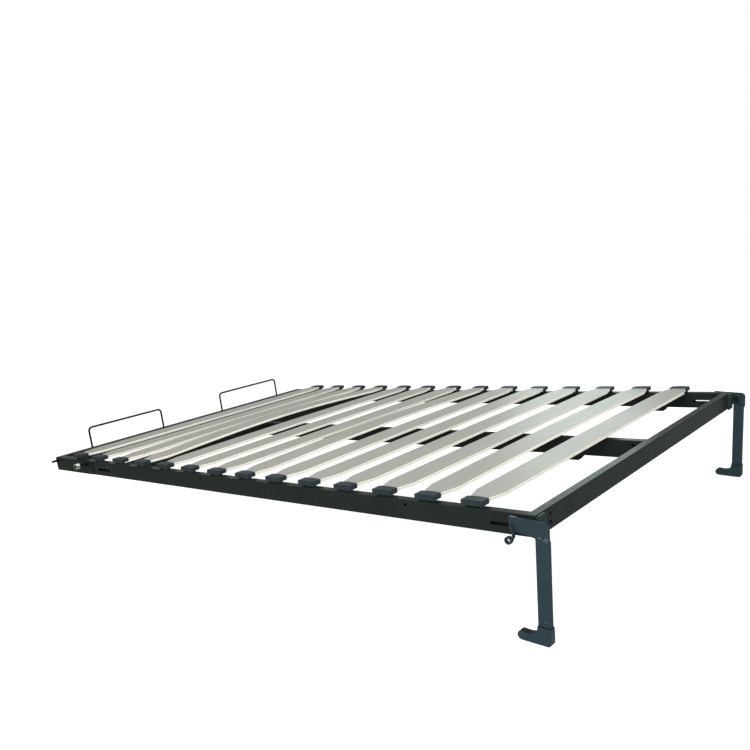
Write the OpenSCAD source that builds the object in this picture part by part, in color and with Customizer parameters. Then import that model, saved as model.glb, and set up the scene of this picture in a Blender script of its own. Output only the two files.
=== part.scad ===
// Slatted frame of a fold-down wall bed, let down: head pivots, folding foot legs and mattress loops.
// Millimetres. +X runs from the head to the foot, +Z is up, the feet stand on Z = 0.
// Each pair is drawn on the right side (+Y) and mirrored to the left.

/* [Frame] */
// Length of the frame over the head and foot rails
frame_len = 2040; // [1850:10:2200]
// Width of the frame over the side rails
frame_w = 1264; // [1100:2:1600]
// Height of the rail tube
rail_h = 50; // [46:1:64]
// Width of the rail tube
rail_w = 25; // [22:1:36]
// Wall of the rail tube
rail_wall = 1.5; // [1:0.1:2.5]
// Outer corner radius of the rail tube
rail_round = 2.5; // [1.5:0.1:4]
// Head end to the middle of the cross rail
cross_rail_in = 447; // [400:1:500]

/* [Slots and holes in the rails] */
// Length of a side rail slot, end to end
slot_len = 79; // [40:1:90]
// Width of a side rail slot
slot_w = 8; // [6:0.5:12]
// Rail top to the middle of the slots
slot_drop = 28; // [26:0.5:34]
// Foot end to the nearer end of the foot slot
foot_slot_in = 36; // [30:1:60]
// Head end to the nearer end of the head slot
head_slot_in = 290; // [280:1:330]
// Diameter of the small rail holes
small_hole_d = 8; // [5:0.5:9]
// Rail top to the small rail holes
small_hole_drop = 12; // [10:0.5:14]
// Head end to the first small hole
head_hole_in = 350; // [340:1:380]
// Head end to the second small hole
mid_hole_in = 886; // [860:1:900]
// Foot end to the third small hole
foot_hole_in = 352; // [345:1:400]
// Foot end to the corner hole of a side rail
corner_hole_in = 42; // [38:1:60]
// Foot end to the hole in the centre rail
centre_hole_in = 54; // [40:1:80]
// Diameter of the foot rail holes
foot_rail_hole_d = 8.5; // [6:0.5:10]
// Side face to the foot rail holes
foot_rail_hole_in = 61; // [50:1:90]
// Rail top to the upper foot rail hole
foot_rail_hole_drop = 14; // [11:0.5:16]
// Distance between the two foot rail holes of a pair
foot_rail_hole_gap = 19; // [14:0.5:22]

/* [Slats] */
// Number of slats
slat_count = 14; // [12:1:15]
// Width of a slat
slat_w = 80; // [68:1:90]
// Width of a slat where it enters its holder
slat_end_w = 48; // [40:1:50]
// Thickness of a slat
slat_t = 8; // [6:0.5:8.5]
// Length of the tapered stretch beside a holder
slat_taper = 55; // [30:1:80]
// Frame end to the middle of the first and of the last slat
slat_margin = 160; // [150:1:175]
// Rise of each slat at mid span, from the head to the foot
slat_rise = [0, 0, 7, 18, 2, 1, 0, 8, 1, 1, 1, 0, 5, 2];

/* [Slat holders] */
// Length of a holder along the rail
holder_len = 58; // [54:1:64]
// Depth of a holder across the rail
holder_depth = 28; // [20:1:30]
// Height of a holder at its middle
holder_h = 13.5; // [11.5:0.5:15]
// Gap between the rail top and a holder
holder_lift = 5.5; // [5:0.5:10]
// Outer face of the rail to the outer face of a holder
holder_set_in = 1; // [0.5:0.5:3]
// Wall behind the slat's end
holder_end_wall = 3; // [2:0.5:5]
// Drop of the holder's crown towards its ends
holder_crown = 1.2; // [0.4:0.1:2]
// Clearance of a slat in its holder
slat_play = 0.3; // [0.2:0.1:0.5]
// Diameter of a holder peg
peg_d = 8; // [6:0.5:9]
// Diameter of the collar on a peg
peg_collar_d = 11; // [10:0.5:14]
// Distance between the two pegs of a holder
peg_gap = 40; // [34:1:42]
// Reach of a peg below the rail top
peg_depth = 4; // [3:0.5:4.5]
// Clearance of a peg in its hole, all round
peg_play = 0.15; // [0.1:0.05:0.3]

/* [Head pivot] */
// Head end to the pivot
pivot_in = 224; // [216:1:230]
// Rail top to the pivot
pivot_drop = 10; // [10:0.5:18]
// Length of the pivot plate from the head end
plate_len = 257; // [245:1:280]
// Thickness of the pivot plate
plate_t = 3; // [2:0.5:5]
// Rail edge to the edge of the pivot plate
plate_inset = 1; // [0:0.5:2]
// Diameter of the pivot stud
stud_d = 12; // [11:0.5:14.5]
// Reach of the pivot stud beyond the side rail
stud_out = 48; // [46:1:60]
// Pitch of the pivot stud's thread
thread_pitch = 2; // [1.5:0.5:3]
// Depth of the pivot stud's thread
thread_depth = 1; // [0.5:0.1:1.4]
// Diameter of the stud's flange inside the frame
stud_flange_d = 18; // [16.5:0.5:19]
// Thickness of the stud's flange
stud_flange_t = 4; // [3:0.5:6]
// Width across the flats of the lock nut
nut_flats = 18; // [17:0.5:20]
// Thickness of the lock nut
nut_t = 9; // [6:0.5:10]
// Diameter of the pivot bush
bush_d = 20; // [19:0.5:24]
// Length of the pivot bush
bush_len = 14; // [12:1:18]
// Diameter of the recess in the bush's end
bush_recess_d = 16; // [15.5:0.5:17]
// Depth of the recess in the bush's end
bush_recess = 4; // [3:0.5:6]
// Thickness of the retaining clip in the recess
clip_t = 1.6; // [1:0.2:2]
// Running clearance of a bush on its pin, all round
run_play = 0.05; // [0.02:0.01:0.08]

/* [Gas strut stud] */
// Head end to the strut stud
strut_in = 15; // [13:0.5:30]
// Rail top to the strut stud
strut_drop = 12; // [8:0.5:20]
// Diameter of the strut stud
strut_d = 8.5; // [6:0.5:9]
// Length of the strut stud's pin
strut_pin = 18; // [10:1:24]
// Diameter of the strut stud's collar
strut_collar_d = 12; // [11:0.5:14]
// Thickness of the strut stud's collar
strut_collar_t = 6; // [3:0.5:8]

/* [Mattress loops] */
// Head end to the loop wire
loop_in = 10; // [9:0.5:14]
// Side face to the middle of a loop
loop_side_in = 310.5; // [280:0.5:340]
// Width of a loop between wire middles
loop_w = 331; // [240:1:400]
// Height of a loop's top wire above the head rail
loop_h = 77; // [50:1:120]
// Diameter of the loop wire
wire_d = 7.5; // [5:0.5:8]
// Bend radius of the loop wire at its middle
wire_bend = 14; // [10:1:25]
// Clearance of the wire in the head rail, all round
wire_play = 0.4; // [0.3:0.1:0.8]

/* [Panel brackets] */
// Foot end to the nearer end of a panel bracket
bracket_in = 199; // [190:1:260]
// Length of a panel bracket
bracket_len = 46; // [36:1:70]
// Drop of a panel bracket below the rail
bracket_drop = 8.5; // [6:0.5:16]
// Height of a panel bracket against the rail
bracket_lap = 18; // [10:1:22]
// Width of the bracket's lower flange
bracket_flange = 22; // [18:1:30]
// Thickness of the bracket
bracket_t = 2.5; // [2:0.5:4]
// Diameter of the screw hole in the lower flange
bracket_hole_d = 6.5; // [4:0.5:8]

/* [Leg hinge] */
// Foot end to the middle of the leg's head
leg_out = 20.5; // [20:0.5:26]
// Rail top to the middle of the leg's head
leg_drop = 23; // [21:0.5:26]
// Middle of the leg's head to the pivot, towards the head end
pivot_back = 5.5; // [4:0.5:5.5]
// Diameter of the leg pivot pin
pin_d = 10; // [8:0.5:11]
// Diameter of the pin's head
pin_head_d = 18; // [14:0.5:18]
// Thickness of the pin's head
pin_head_t = 3; // [2:0.5:4]
// Thickness of the hinge bracket
ear_t = 3; // [2:0.5:4]
// Width of the bracket's flange on the foot rail
flange_w = 40; // [30:1:44]
// Reach of the bracket's flange below the rail
flange_over = 3; // [0:0.5:6]
// Rail top to the top of the bracket
ear_top_drop = 3; // [1:0.5:4]
// Rail top to the bottom of the bracket's ear
ear_low_drop = 44; // [40:1:46]
// Radius of the bracket's ear about the pivot
ear_r = 10.5; // [9:0.5:12]
// Outer diameter of the spacer washer
washer_d = 20; // [16:1:22]

/* [Legs] */
// Middle of the leg's head to the sole, along the leg
leg_len = 265; // [220:1:400]
// Lean of the opened leg, sole towards the head
leg_lean = 3.6; // [0:0.1:6]
// Width of the leg tube along the bed
leg_w = 30; // [27:1:30]
// Thickness of the leg tube across the bed
leg_t = 15; // [12:0.5:15]
// Wall of the leg tube
leg_wall = 1.5; // [1:0.1:2]
// Corner radius of the leg tube
leg_round = 2; // [1.6:0.1:3]
// Middle of the leg's head to the tube's top, on the headward edge
leg_top_high = 17; // [15:0.5:19]
// Middle of the leg's head to the tube's top, on the footward edge
leg_top_low = 27; // [24:0.5:30]
// Length of the plug in the tube's top
plug_len = 15; // [10:1:18]
// Outer diameter of the pivot sleeve
sleeve_d = 18; // [17:0.5:20]
// Diameter of the bush in the pivot sleeve
leg_bush_d = 14; // [13:0.5:14]

/* [Leg head plate] */
// Thickness of the head plate
head_plate_t = 3; // [2:0.5:4]
// Middle of the leg's head to the plate's top edge
head_plate_top = 17; // [16:0.5:20]
// Reach of the arm from the leg's middle line
arm_reach = 78; // [60:1:100]
// Middle of the leg's head down to the arm's lower edge at its tip
arm_tip_low = 12.5; // [12:0.5:18]
// Middle of the leg's head down to the arm's lower edge beside the leg
arm_root_low = 21.5; // [20:0.5:24]
// Radius between the arm and the leg
arm_fillet = 3; // [2:0.5:5]
// Reach of the plate's footward edge beyond the leg tube
plate_over = 3; // [0:0.5:4]
// Radius of the plate's top corner
plate_corner = 13; // [8:0.5:14]
// Length of the plate's tongue in the leg tube
tongue_len = 22; // [16:1:30]

/* [Cord eye on the arm] */
// Width of the bent strip, across the bed
eye_strip_w = 9; // [5:0.5:12]
// Thickness of the bent strip
eye_strip_t = 4; // [2:0.5:4.5]
// Outer diameter of the eye
eye_d = 18; // [16:0.5:20]
// Arm tip to the eye's middle
eye_in = 1.5; // [0:0.5:3]
// Middle of the leg's head down to the eye's middle
eye_drop = 36; // [35:0.5:42]
// Arm tip to the strip's upper end
strip_top_in = 7.5; // [4:0.5:10]
// Arm tip to the strip's bend
strip_bend_in = 13.5; // [13:0.5:17]
// Middle of the leg's head down to the strip's bend
strip_bend_drop = 14; // [11:0.5:16]

/* [Shoe] */
// Thickness of the shoe across the bed
shoe_t = 18; // [18:0.5:22]
// Height of the shoe's heel block
heel_h = 41.5; // [36:0.5:48]
// Reach of the heel behind the leg's middle line
heel_back = 16.5; // [16.5:0.5:20]
// Radius at the back of the heel
heel_round = 9; // [4:0.5:10]
// Reach of the toe from the leg's middle line
toe_reach = 66; // [50:1:80]
// Height of the toe's curled tip
toe_tip_h = 21; // [16:0.5:22]
// Heel to the guide point of the toe's scoop
scoop_run = 5; // [3:1:10]
// Sole to the guide point of the toe's scoop
scoop_h = 16; // [11:0.5:17]
// Heel top to the end of the scoop
scoop_end_drop = 6; // [3:0.5:12]
// Depth of the leg tube in the shoe
shoe_socket = 20; // [14:1:24]
// Clearance of the leg tube in the shoe, all round
socket_play = 0.2; // [0.1:0.05:0.4]
// Sole to the rivet on the leg
rivet_up = 56; // [56:1:80]
// Leg middle to the rivet, towards the foot
rivet_off = 5; // [0:0.5:6]
// Diameter of the rivet's head
rivet_d = 7; // [5:0.5:9]
// Diameter of the rivet's shank
rivet_shank_d = 4; // [3:0.5:4.5]
// Gap between the side rail and the shoe
leg_gap = 1; // [0.5:0.5:3]

/* [Hidden] */
$fn = 48;
bend_steps = 12;
over = 1;
seat_gap = 0.3;
fit_play = 0.1;
clip_play = 1;

// Leg layers, measured outwards from the side rail's outer face
tube_in = leg_gap + (shoe_t - leg_t) / 2;
tube_out = tube_in + leg_t;
plate_face = tube_out - leg_wall - fit_play;
plate_back = plate_face - head_plate_t;
tongue_w = leg_w - 2 * (max(leg_round, leg_wall) + 2 * fit_play);

// Level of the leg tube's slanted top at a distance from the leg's middle line
function tube_top(x) = -(leg_top_high + leg_top_low) / 2 - x * (leg_top_low - leg_top_high) / leg_w;

// Levels
leg_z = (leg_len - heel_round) * cos(leg_lean) + (heel_back - heel_round) * sin(leg_lean) + heel_round;
rail_top = leg_z + leg_drop;
rail_mid = rail_top - rail_h / 2;
rail_low = rail_top - rail_h;

// The frame is centred between its head face and the far edge of the leg plates
plate_right = leg_w / 2 + plate_over;
corner_x = plate_right - plate_corner;
corner_z = head_plate_top - plate_corner;
foot_over = leg_out + corner_x * cos(leg_lean) + corner_z * sin(leg_lean) + plate_corner;
x_head = -(frame_len + foot_over) / 2;
x_foot = x_head + frame_len;
half_w = frame_w / 2;
leg_x = x_foot + leg_out;
hinge_x = leg_x - pivot_back * cos(leg_lean);
hinge_z = leg_z + pivot_back * sin(leg_lean);
loop_off = half_w - loop_side_in;
pivot_x = x_head + pivot_in;
stud_z = rail_top - pivot_drop;
shank_d = stud_d - 2 * thread_depth;
shank_end = stud_out - bush_recess + clip_t + 2 * seat_gap;

// Slat layout
slat_pitch = (frame_len - 2 * slat_margin) / (slat_count - 1);
slat_low = holder_lift + (holder_h - holder_crown - slat_t) / 2;
slat_half = half_w - holder_set_in - holder_end_wall - slat_play;
taper_end = half_w - holder_set_in - holder_depth - over;
slat_steps = 16;
function slat_x(i) = x_head + slat_margin + (i - 1) * slat_pitch;
function slat_name(i) = str("slat_", i < 10 ? "0" : "", i);
function bow(y, rise) = abs(y) < taper_end ? rise * pow(1 - pow(y / taper_end, 2), 1.5) : 0;

rail_colour = "#343a36";
leg_colour = "#2f3f47";
plastic_colour = "#3a4148";
slat_colour = "#b4b7b2";
steel_colour = "#c9cbcc";
black_colour = "#23272a";
nylon_colour = "#d8d8d0";

// Helpers

function arc(x, y, r, from, to) = [
    for (k = [0:bend_steps]) let (a = from + (to - from) * k / bend_steps) [x + r * cos(a), y + r * sin(a)]
];

function curve(p, q, r) = [
    for (k = [0:bend_steps]) let (t = k / bend_steps) p * pow(1 - t, 2) + q * 2 * t * (1 - t) + r * t * t
];

// Angle at which a line from a point touches a circle, on one side or the other
function touch(c, p, r, side) = let (d = p - c) atan2(d[1], d[0]) - side * acos(r / norm(d));

module on_left() {
    mirror([0, 1, 0])
        children();
}

module rounded_rect(w, h, r) {
    square([w - 2 * r, h], center = true);
    square([w, h - 2 * r], center = true);
    for (x = [-1, 1], y = [-1, 1])
        translate([x * (w / 2 - r), y * (h / 2 - r)])
            circle(r);
}

module tube_profile(w, h, wall, r) {
    difference() {
        rounded_rect(w, h, r);
        rounded_rect(w - 2 * wall, h - 2 * wall, max(r - wall, wall / 4));
    }
}

module tube_along_x(len) {
    rotate([90, 0, 90])
        linear_extrude(len, center = true)
            tube_profile(rail_w, rail_h, rail_wall, rail_round);
}

module tube_along_y(len) {
    rotate([90, 0, 0])
        linear_extrude(len, center = true)
            tube_profile(rail_w, rail_h, rail_wall, rail_round);
}

// A disc or rod on a Y axis, from one distance outside the right rail to another
module rod_y(d, from, to) {
    translate([0, half_w + to, 0])
        rotate([90, 0, 0])
            cylinder(d = d, h = to - from);
}

// A flat piece with its outline in X and Z, from one distance outside the right rail to another
module plate_y(from, to) {
    translate([0, half_w + to, 0])
        rotate([90, 0, 0])
            linear_extrude(to - from)
                children();
}

module slot_outline(len, w) {
    square([len - w, w], center = true);
    for (x = [-1, 1])
        translate([x * (len - w) / 2, 0])
            circle(d = w);
}

module strip_outline(p, q, w) {
    d = q - p;
    translate(p)
        circle(d = w);
    translate(q)
        circle(d = w);
    translate(p)
        rotate(atan2(d[1], d[0]))
            translate([0, -w / 2])
                square([norm(d), w]);
}

module on_leg() {
    translate([leg_x, 0, leg_z])
        rotate([0, leg_lean, 0])
            children();
}

module on_leg_pivot() {
    on_leg()
        translate([-pivot_back, 0, 0])
            children();
}

// Frame

module mitre_side() {
    translate([0, 0, rail_low - over])
        linear_extrude(rail_h + 2 * over)
            polygon([
                [x_head, half_w],
                [x_foot, half_w],
                [x_foot - rail_w, half_w - rail_w],
                [x_head + rail_w, half_w - rail_w]
            ]);
}

module mitre_end(x_out, x_in) {
    translate([0, 0, rail_low - over])
        linear_extrude(rail_h + 2 * over)
            polygon([
                [x_out, half_w],
                [x_in, half_w - rail_w],
                [x_in, rail_w - half_w],
                [x_out, -half_w]
            ]);
}

module peg_holes() {
    for (i = [1:slat_count], side = [-1, 1])
        translate([slat_x(i) + side * peg_gap / 2, half_w - rail_w / 2, rail_top - rail_wall - over])
            cylinder(d = peg_d + 2 * peg_play, h = rail_wall + 2 * over);
}

module rail_hole(x, z, d) {
    translate([x, 0, z])
        rod_y(d, -rail_w - over, over);
}

module side_rail() {
    difference() {
        intersection() {
            translate([(x_head + x_foot) / 2, half_w - rail_w / 2, rail_mid])
                tube_along_x(frame_len);
            mitre_side();
        }
        for (x = [x_foot - foot_slot_in - slot_len / 2, x_head + head_slot_in + slot_len / 2])
            translate([x, 0, rail_top - slot_drop])
                plate_y(-rail_w - over, over)
                    slot_outline(slot_len, slot_w);
        for (x = [head_hole_in, mid_hole_in, frame_len - foot_hole_in, frame_len - corner_hole_in])
            rail_hole(x_head + x, rail_top - small_hole_drop, small_hole_d);
        rail_hole(pivot_x, stud_z, stud_d + 2 * fit_play);
        peg_holes();
    }
}

module left_side_rail() {
    color(rail_colour)
        on_left()
            side_rail();
}

module right_side_rail() {
    color(rail_colour)
        side_rail();
}

module head_rail() {
    color(rail_colour)
        difference() {
            intersection() {
                translate([x_head + rail_w / 2, 0, rail_mid])
                    tube_along_y(frame_w);
                mitre_end(x_head, x_head + rail_w);
            }
            for (side = [-1, 1], leg = [-1, 1])
                translate([x_head + loop_in, side * loop_off + leg * loop_w / 2, rail_top - rail_wall - over])
                    cylinder(d = wire_d + 2 * wire_play, h = rail_wall + 2 * over);
        }
}

module foot_rail() {
    color(rail_colour)
        difference() {
            intersection() {
                translate([x_foot - rail_w / 2, 0, rail_mid])
                    tube_along_y(frame_w);
                mitre_end(x_foot, x_foot - rail_w);
            }
            for (y = [foot_rail_hole_in - half_w, half_w - foot_rail_hole_in], z = [0, foot_rail_hole_gap])
                translate([x_foot - rail_wall - over, y, rail_top - foot_rail_hole_drop - z])
                    rotate([0, 90, 0])
                        cylinder(d = foot_rail_hole_d, h = rail_wall + 2 * over);
        }
}

module centre_rail() {
    color(rail_colour)
        difference() {
            translate([(x_head + x_foot) / 2, 0, rail_mid])
                tube_along_x(frame_len - 2 * rail_w);
            translate([x_foot - centre_hole_in, 0, rail_top - small_hole_drop])
                rotate([90, 0, 0])
                    cylinder(d = small_hole_d, h = rail_w + 2 * over, center = true);
        }
}

module cross_rail() {
    half = half_w - 1.5 * rail_w;
    color(rail_colour)
        for (side = [-1, 1])
            translate([x_head + cross_rail_in, side * (rail_w + half) / 2, rail_mid])
                tube_along_y(half);
}

// Head pivot

module pivot_plate() {
    difference() {
        translate([x_head, 0, rail_low + plate_inset])
            plate_y(0, plate_t)
                square([plate_len, rail_h - 2 * plate_inset]);
        translate([pivot_x, 0, stud_z])
            rod_y(stud_d + 2 * fit_play, -over, plate_t + over);
    }
}

module left_pivot_plate() {
    color(rail_colour)
        on_left()
            pivot_plate();
}

module right_pivot_plate() {
    color(rail_colour)
        pivot_plate();
}

// Thread ribs over a plain core, as closed rings of the thread's pitch
module thread(len) {
    turns = floor(len / thread_pitch);
    core = stud_d / 2 - thread_depth;
    rotate_extrude()
        polygon(concat(
            [[0, 0], [core, 0]],
            [for (k = [0:turns - 1]) each [
                [core, k * thread_pitch],
                [stud_d / 2, (k + 0.5) * thread_pitch]
            ]],
            [[core, turns * thread_pitch], [core, len], [0, len]]
        ));
}

module pivot_stud() {
    thread_from = plate_t + nut_t;
    thread_len = stud_out - bush_len - seat_gap - thread_from;
    translate([pivot_x, 0, stud_z]) {
        rod_y(stud_flange_d, -rail_w - stud_flange_t, -rail_w);
        rod_y(stud_d, -rail_w, thread_from);
        translate([0, half_w + thread_from, 0])
            rotate([-90, 0, 0])
                thread(thread_len);
        rod_y(shank_d, thread_from, shank_end);
    }
}

module left_pivot_stud() {
    color(black_colour)
        on_left()
            pivot_stud();
}

module right_pivot_stud() {
    color(black_colour)
        pivot_stud();
}

module lock_nut() {
    translate([pivot_x, 0, stud_z])
        difference() {
            plate_y(plate_t, plate_t + nut_t)
                circle(d = nut_flats / cos(30), $fn = 6);
            rod_y(stud_d + 2 * fit_play, plate_t - over, plate_t + nut_t + over);
        }
}

module pivot_lock_nuts() {
    color(black_colour) {
        lock_nut();
        on_left()
            lock_nut();
    }
}

module pivot_bush() {
    translate([pivot_x, 0, stud_z])
        difference() {
            rod_y(bush_d, stud_out - bush_len, stud_out);
            rod_y(shank_d + 2 * run_play, stud_out - bush_len - over, stud_out + over);
            rod_y(bush_recess_d, stud_out - bush_recess, stud_out + over);
        }
}

module left_pivot_bush() {
    color(steel_colour)
        on_left()
            pivot_bush();
}

module right_pivot_bush() {
    color(steel_colour)
        pivot_bush();
}

module pivot_clip() {
    from = stud_out - bush_recess + seat_gap;
    translate([pivot_x, 0, stud_z])
        difference() {
            rod_y(bush_recess_d - 2 * clip_play, from, from + clip_t);
            rod_y(shank_d + 2 * fit_play, from - over, from + clip_t + over);
        }
}

module pivot_clips() {
    color(black_colour) {
        pivot_clip();
        on_left()
            pivot_clip();
    }
}

module strut_stud() {
    translate([x_head + strut_in, 0, rail_top - strut_drop]) {
        rod_y(strut_collar_d, plate_t, plate_t + strut_collar_t);
        rod_y(strut_d, plate_t + strut_collar_t, plate_t + strut_collar_t + strut_pin);
    }
}

module left_strut_stud() {
    color(black_colour)
        on_left()
            strut_stud();
}

module right_strut_stud() {
    color(black_colour)
        strut_stud();
}

// Slats and holders

module slat_plan() {
    polygon([
        [-slat_end_w / 2, slat_half],
        [slat_end_w / 2, slat_half],
        [slat_end_w / 2, taper_end],
        [slat_w / 2, taper_end - slat_taper],
        [slat_w / 2, slat_taper - taper_end],
        [slat_end_w / 2, -taper_end],
        [slat_end_w / 2, -slat_half],
        [-slat_end_w / 2, -slat_half],
        [-slat_end_w / 2, -taper_end],
        [-slat_w / 2, slat_taper - taper_end],
        [-slat_w / 2, taper_end - slat_taper],
        [-slat_end_w / 2, taper_end]
    ]);
}

module slat_side(rise) {
    ys = [for (k = [0:slat_steps]) taper_end * (2 * k / slat_steps - 1)];
    line = concat([-slat_half - over], ys, [slat_half + over]);
    last = len(line) - 1;
    polygon(concat(
        [for (y = line) [y, bow(y, rise)]],
        [for (k = [0:last]) let (y = line[last - k]) [y, bow(y, rise) + slat_t]]
    ));
}

module slat(i) {
    rise = slat_rise[(i - 1) % len(slat_rise)];
    color(slat_colour)
        translate([slat_x(i), 0, rail_top + slat_low])
            intersection() {
                translate([0, 0, -slat_w])
                    linear_extrude(2 * slat_w)
                        slat_plan();
                rotate([90, 0, 90])
                    linear_extrude(slat_w + 2 * over, center = true)
                        slat_side(rise);
            }
}

module holder_outline() {
    half = holder_len / 2;
    r = (half * half + holder_crown * holder_crown) / (2 * holder_crown);
    a = asin(half / r);
    polygon(concat(
        [[half, 0]],
        arc(0, holder_h - r, r, 90 - a, 90 + a),
        [[-half, 0]]
    ));
}

module slat_holder() {
    outer = half_w - holder_set_in;
    slot_w_end = slat_end_w + 2 * slat_play;
    slot_t = slat_t + 2 * slat_play;
    slot_low = slat_low - holder_lift - slat_play;
    translate([0, 0, rail_top + holder_lift])
        difference() {
            plate_y(-holder_set_in - holder_depth, -holder_set_in)
                holder_outline();
            translate([-slot_w_end / 2, outer - holder_depth - over, slot_low])
                cube([slot_w_end, holder_depth - holder_end_wall + over, slot_t]);
        }
    for (side = [-1, 1])
        translate([side * peg_gap / 2, half_w - rail_w / 2, 0]) {
            translate([0, 0, rail_top])
                cylinder(d = peg_collar_d, h = holder_lift);
            translate([0, 0, rail_top - peg_depth])
                cylinder(d = peg_d, h = peg_depth);
        }
}

module right_slat_holders() {
    color(plastic_colour)
        for (i = [1:slat_count])
            translate([slat_x(i), 0, 0])
                slat_holder();
}

module left_slat_holders() {
    on_left()
        right_slat_holders();
}

// Panel brackets under the rails

module panel_bracket() {
    top = rail_low + bracket_lap;
    low = rail_low - bracket_drop;
    slope = bracket_drop;
    difference() {
        union() {
            rotate([90, 0, 0])
                linear_extrude(bracket_t)
                    polygon([
                        [0, top],
                        [bracket_len, top],
                        [bracket_len, rail_low],
                        [bracket_len - slope, low],
                        [0, low]
                    ]);
            translate([0, -bracket_flange, low])
                cube([bracket_len - slope, bracket_flange, bracket_t]);
        }
        translate([(bracket_len - slope) / 2, -(bracket_flange + bracket_t) / 2, low - over])
            cylinder(d = bracket_hole_d, h = bracket_t + 2 * over);
    }
}

module panel_brackets() {
    x = x_foot - bracket_in - bracket_len;
    color(rail_colour) {
        translate([x, half_w - rail_w, 0])
            panel_bracket();
        on_left()
            translate([x, half_w - rail_w, 0])
                panel_bracket();
        translate([x, -rail_w / 2, 0])
            panel_bracket();
    }
}

// Mattress loops

module mattress_loop() {
    x = x_head + loop_in;
    foot = rail_low + rail_wall;
    top = rail_top + loop_h;
    bar = loop_w - 2 * wire_bend;
    translate([x, loop_off, 0]) {
        for (side = [-1, 1]) {
            translate([0, side * loop_w / 2, foot])
                cylinder(d = wire_d, h = top - wire_bend - foot);
            translate([0, side * (loop_w / 2 - wire_bend), top - wire_bend])
                rotate([90, 0, side * 90])
                    rotate_extrude(angle = 90)
                        translate([wire_bend, 0])
                            circle(d = wire_d);
        }
        translate([0, 0, top])
            rotate([90, 0, 0])
                cylinder(d = wire_d, h = bar, center = true);
    }
}

module right_mattress_loop() {
    color(leg_colour)
        mattress_loop();
}

module left_mattress_loop() {
    color(leg_colour)
        on_left()
            mattress_loop();
}

// Leg hinge

module ear_outline() {
    pivot = [hinge_x - x_foot, hinge_z - rail_top];
    top = [0, -ear_top_drop];
    low = [0, -ear_low_drop];
    polygon(concat(
        [top],
        arc(pivot[0], pivot[1], ear_r, touch(pivot, top, ear_r, 1), touch(pivot, low, ear_r, -1)),
        [low]
    ));
}

module hinge_bracket() {
    difference() {
        union() {
            translate([x_foot, 0, rail_top])
                plate_y(-ear_t, 0)
                    ear_outline();
            translate([x_foot, half_w - flange_w, rail_low - flange_over])
                cube([ear_t, flange_w, rail_h + flange_over - ear_top_drop]);
        }
        translate([hinge_x, 0, hinge_z])
            rod_y(pin_d + 2 * fit_play, -ear_t - over, over);
    }
}

module left_hinge_bracket() {
    color(leg_colour)
        on_left()
            hinge_bracket();
}

module right_hinge_bracket() {
    color(leg_colour)
        hinge_bracket();
}

module leg_pin() {
    translate([hinge_x, 0, hinge_z]) {
        rod_y(pin_head_d, -ear_t - pin_head_t, -ear_t);
        rod_y(pin_d, -ear_t, plate_face - seat_gap);
    }
}

module left_leg_pin() {
    color(leg_colour)
        on_left()
            leg_pin();
}

module right_leg_pin() {
    color(leg_colour)
        leg_pin();
}

module leg_spacer() {
    translate([hinge_x, 0, hinge_z])
        difference() {
            rod_y(washer_d, 0, tube_in - seat_gap);
            rod_y(pin_d + 2 * fit_play, -over, tube_in + over);
        }
}

module leg_spacers() {
    color(nylon_colour) {
        leg_spacer();
        on_left()
            leg_spacer();
    }
}

// Leg pieces, drawn about the middle of the leg's head with the leg straight down and then leaned

module leg_bar(w, t, r, from, to) {
    translate([0, half_w + tube_in + leg_t / 2, from])
        linear_extrude(to - from)
            rounded_rect(w, t, r);
}

module leg_tube() {
    bottom = heel_h - leg_len - shoe_socket;
    inner_round = max(leg_round - leg_wall, leg_wall / 4);
    on_leg()
        difference() {
            leg_bar(leg_w, leg_t, leg_round, bottom, 0);
            plate_y(tube_in - over, tube_out + over)
                polygon([
                    [-leg_w, tube_top(-leg_w) - fit_play],
                    [leg_w, tube_top(leg_w) - fit_play],
                    [leg_w, leg_w],
                    [-leg_w, leg_w]
                ]);
            leg_bar(leg_w - 2 * leg_wall, leg_t - 2 * leg_wall, inner_round, bottom - over, over);
            translate([rivet_off, 0, rivet_up - leg_len])
                rod_y(rivet_shank_d + 2 * fit_play, tube_out - leg_wall - over, tube_out + over);
        }
}

module left_leg_tube() {
    color(leg_colour)
        on_left()
            leg_tube();
}

module right_leg_tube() {
    color(leg_colour)
        leg_tube();
}

module head_plate_outline() {
    left = -leg_w / 2 - fit_play;
    tongue = tongue_w / 2;
    tongue_end = -leg_top_low - tongue_len;
    fillet_end = -arm_root_low - arm_fillet;
    polygon(concat(
        [[-arm_reach, head_plate_top]],
        arc(corner_x, corner_z, plate_corner, 90, 0),
        [[plate_right, tube_top(plate_right)], [tongue, tube_top(tongue)]],
        [[tongue, tongue_end], [-tongue, tongue_end]],
        [[-tongue, tube_top(-tongue)], [left, tube_top(left)], [left, fillet_end]],
        arc(left - arm_fillet, fillet_end, arm_fillet, 0, 90),
        [[-arm_reach, -arm_tip_low]]
    ));
}

module leg_head_plate() {
    difference() {
        on_leg()
            plate_y(plate_back, plate_face)
                head_plate_outline();
        on_leg_pivot()
            rod_y(pin_d + 2 * seat_gap, plate_back - over, plate_face + over);
    }
}

module left_leg_head_plate() {
    color(leg_colour)
        on_left()
            leg_head_plate();
}

module right_leg_head_plate() {
    color(leg_colour)
        leg_head_plate();
}

module leg_cord_eye() {
    eye = [eye_in - arm_reach, -eye_drop];
    top = [strip_top_in - arm_reach, 0];
    bend = [strip_bend_in - arm_reach, -strip_bend_drop];
    low = [bend[0], eye[1] + eye_d / 2];
    round_r = (eye_d - eye_strip_t) / 2;
    join = eye + round_r * [cos(45), -sin(45)];
    on_leg()
        plate_y(plate_face, plate_face + eye_strip_w)
            difference() {
                union() {
                    strip_outline(top, bend, eye_strip_t);
                    strip_outline(bend, low, eye_strip_t);
                    strip_outline(low, join, eye_strip_t);
                    translate(eye)
                        circle(d = eye_d);
                }
                translate(eye)
                    circle(d = eye_d - 2 * eye_strip_t);
            }
}

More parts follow.
